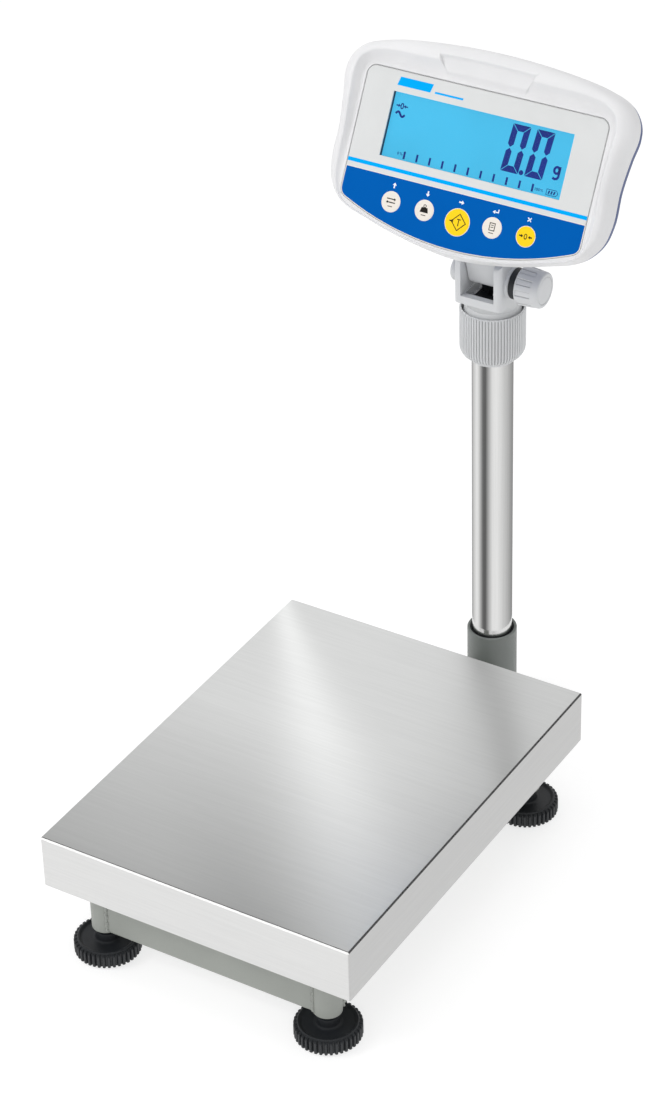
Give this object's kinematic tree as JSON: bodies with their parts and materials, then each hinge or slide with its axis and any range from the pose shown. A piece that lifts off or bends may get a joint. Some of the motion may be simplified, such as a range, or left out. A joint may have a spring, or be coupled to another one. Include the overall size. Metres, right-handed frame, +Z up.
{
  "type": "bench scale",
  "caption": "Bench scale with a flat rectangular weighing pan on a low frame with levelling feet, and a tilting display head on a rear column.",
  "frame": {"origin": "centre of the footprint at bench level", "axes": "+Z up, -Y towards the person weighing, +X to their right; x = 0 is the plane of symmetry"},
  "size_m": [0.3, 0.5464, 0.6575],
  "materials": {
    "brushed_stainless": "folded stainless sheet, brushed along its length",
    "polished_tube": "polished stainless tube",
    "aluminium_plate": "bare aluminium",
    "cell_body": "machined aluminium with potted gauges",
    "zinc_hardware": "zinc plated steel",
    "frame_paint": "grey-green powder coat over welded tube",
    "socket_paint": "darker grey-green powder coat",
    "black_plastic": "moulded black plastic",
    "black_rubber": "soft black rubber",
    "grey_plastic": "fine-textured light grey plastic",
    "white_shell": "fine-textured off-white plastic",
    "navy_shell": "fine-textured navy plastic",
    "overlay": "printed polycarbonate sheet, light grey above and blue below",
    "display_glass": "backlit liquid crystal display",
    "window_clear": "clear window",
    "key_cream": "printed cream key",
    "key_yellow": "printed yellow key",
    "circuit_board": "solder-masked glass epoxy",
    "battery_wrap": "shrink-wrapped cells"
  },
  "bodies": {
    "base": {"centre_beam": "frame_paint", "front_rail": "frame_paint", "rear_rail": "frame_paint", "left_rail": "frame_paint", "right_rail": "frame_paint", "leg_post_front_left": "frame_paint", "leg_post_front_right": "frame_paint", "leg_post_rear_left": "frame_paint", "leg_post_rear_right": "frame_paint", "column_bracket": "frame_paint", "column_socket": "socket_paint", "column_bush": "black_plastic", "socket_screw": "zinc_hardware", "column": "polished_tube", "load_cell": "cell_body", "cell_spacer_lower": "zinc_hardware", "cell_spacer_upper": "zinc_hardware", "cell_bolt_lower_1": "zinc_hardware", "cell_bolt_lower_2": "zinc_hardware", "cell_bolt_upper_1": "zinc_hardware", "cell_bolt_upper_2": "zinc_hardware", "carrier_plate": "aluminium_plate", "pan_pad_front_left": "black_rubber", "pan_pad_front_right": "black_rubber", "pan_pad_rear_left": "black_rubber", "pan_pad_rear_right": "black_rubber"},
    "pan": {"weighing_pan": "brushed_stainless"},
    "collar": {"collar": "grey_plastic"},
    "yoke": {"yoke": "grey_plastic", "tilt_bolt": "grey_plastic", "knob_washer": "black_plastic"},
    "knob": {"tilt_knob": "grey_plastic"},
    "head": {"front_housing": "white_shell", "rear_housing": "navy_shell", "front_panel": "overlay", "window_lens": "window_clear", "display_module": "display_glass", "main_board": "circuit_board", "battery_pack": "battery_wrap", "battery_cover": "navy_shell", "serial_port": "zinc_hardware", "power_socket": "black_plastic", "tilt_bracket": "grey_plastic"},
    "key_mode": {"key_mode": "key_cream"},
    "key_unit": {"key_unit": "key_cream"},
    "key_tare": {"key_tare": "key_yellow"},
    "key_print": {"key_print": "key_cream"},
    "key_zero": {"key_zero": "key_yellow"},
    "sole_front_left": {"foot_sole_front_left": "black_rubber"},
    "foot_front_left": {"foot_wheel_front_left": "black_plastic", "foot_stud_front_left": "zinc_hardware"},
    "sole_front_right": {"foot_sole_front_right": "black_rubber"},
    "foot_front_right": {"foot_wheel_front_right": "black_plastic", "foot_stud_front_right": "zinc_hardware"},
    "sole_rear_left": {"foot_sole_rear_left": "black_rubber"},
    "foot_rear_left": {"foot_wheel_rear_left": "black_plastic", "foot_stud_rear_left": "zinc_hardware"},
    "sole_rear_right": {"foot_sole_rear_right": "black_rubber"},
    "foot_rear_right": {"foot_wheel_rear_right": "black_plastic", "foot_stud_rear_right": "zinc_hardware"}
  },
  "joints": [
    {"name": "pan_lift", "type": "slide", "parent": "base", "child": "pan", "axis": [0, 0, 1], "range_m": [0, 0.08]},
    {"name": "collar_turn", "type": "hinge", "parent": "base", "child": "collar", "pos_m": [0, 0.2352, 0.396], "axis": [0, 0, 1], "range_deg": [0, 90]},
    {"name": "head_swivel", "type": "hinge", "parent": "base", "child": "yoke", "pos_m": [0, 0.2352, 0.416], "axis": [0, 0, 1], "range_deg": [-170, 170]},
    {"name": "head_tilt", "type": "hinge", "parent": "yoke", "child": "head", "pos_m": [0, 0.2272, 0.454], "axis": [1, 0, 0], "range_deg": [-45, 30]},
    {"name": "knob_turn", "type": "hinge", "parent": "yoke", "child": "knob", "pos_m": [0.044, 0.2272, 0.454], "axis": [1, 0, 0], "range_deg": [0, 360]},
    {"name": "key_mode_press", "type": "slide", "parent": "head", "child": "key_mode", "axis": [0, 0.878, -0.4787], "range_m": [0, 0.0005], "stiffness_N_per_m": 2000, "springref_m": -0.0001},
    {"name": "key_unit_press", "type": "slide", "parent": "head", "child": "key_unit", "axis": [0, 0.878, -0.4787], "range_m": [0, 0.0005], "stiffness_N_per_m": 2000, "springref_m": -0.0001},
    {"name": "key_tare_press", "type": "slide", "parent": "head", "child": "key_tare", "axis": [0, 0.878, -0.4787], "range_m": [0, 0.0005], "stiffness_N_per_m": 2000, "springref_m": -0.0001},
    {"name": "key_print_press", "type": "slide", "parent": "head", "child": "key_print", "axis": [0, 0.878, -0.4787], "range_m": [0, 0.0005], "stiffness_N_per_m": 2000, "springref_m": -0.0001},
    {"name": "key_zero_press", "type": "slide", "parent": "head", "child": "key_zero", "axis": [0, 0.878, -0.4787], "range_m": [0, 0.0005], "stiffness_N_per_m": 2000, "springref_m": -0.0001},
    {"name": "foot_travel_front_left", "type": "slide", "parent": "base", "child": "sole_front_left", "axis": [0, 0, 1], "range_m": [-0.0075, 0.003]},
    {"name": "foot_turn_front_left", "type": "hinge", "parent": "sole_front_left", "child": "foot_front_left", "pos_m": [-0.11, -0.2442, 0.01], "axis": [0, 0, 1], "range_deg": [-1800, 720]},
    {"name": "foot_travel_front_right", "type": "slide", "parent": "base", "child": "sole_front_right", "axis": [0, 0, 1], "range_m": [-0.0075, 0.003]},
    {"name": "foot_turn_front_right", "type": "hinge", "parent": "sole_front_right", "child": "foot_front_right", "pos_m": [0.11, -0.2442, 0.01], "axis": [0, 0, 1], "range_deg": [-1800, 720]},
    {"name": "foot_travel_rear_left", "type": "slide", "parent": "base", "child": "sole_rear_left", "axis": [0, 0, 1], "range_m": [-0.0075, 0.003]},
    {"name": "foot_turn_rear_left", "type": "hinge", "parent": "sole_rear_left", "child": "foot_rear_left", "pos_m": [-0.11, 0.0978, 0.01], "axis": [0, 0, 1], "range_deg": [-1800, 720]},
    {"name": "foot_travel_rear_right", "type": "slide", "parent": "base", "child": "sole_rear_right", "axis": [0, 0, 1], "range_m": [-0.0075, 0.003]},
    {"name": "foot_turn_rear_right", "type": "hinge", "parent": "sole_rear_right", "child": "foot_rear_right", "pos_m": [0.11, 0.0978, 0.01], "axis": [0, 0, 1], "range_deg": [-1800, 720]}
  ],
  "couplings": [
    {"joint": "foot_turn_front_left", "follows": "foot_travel_front_left", "rad_per_m": 4188.8},
    {"joint": "foot_turn_front_right", "follows": "foot_travel_front_right", "rad_per_m": 4188.8},
    {"joint": "foot_turn_rear_left", "follows": "foot_travel_rear_left", "rad_per_m": 4188.8},
    {"joint": "foot_turn_rear_right", "follows": "foot_travel_rear_right", "rad_per_m": 4188.8}
  ]
}
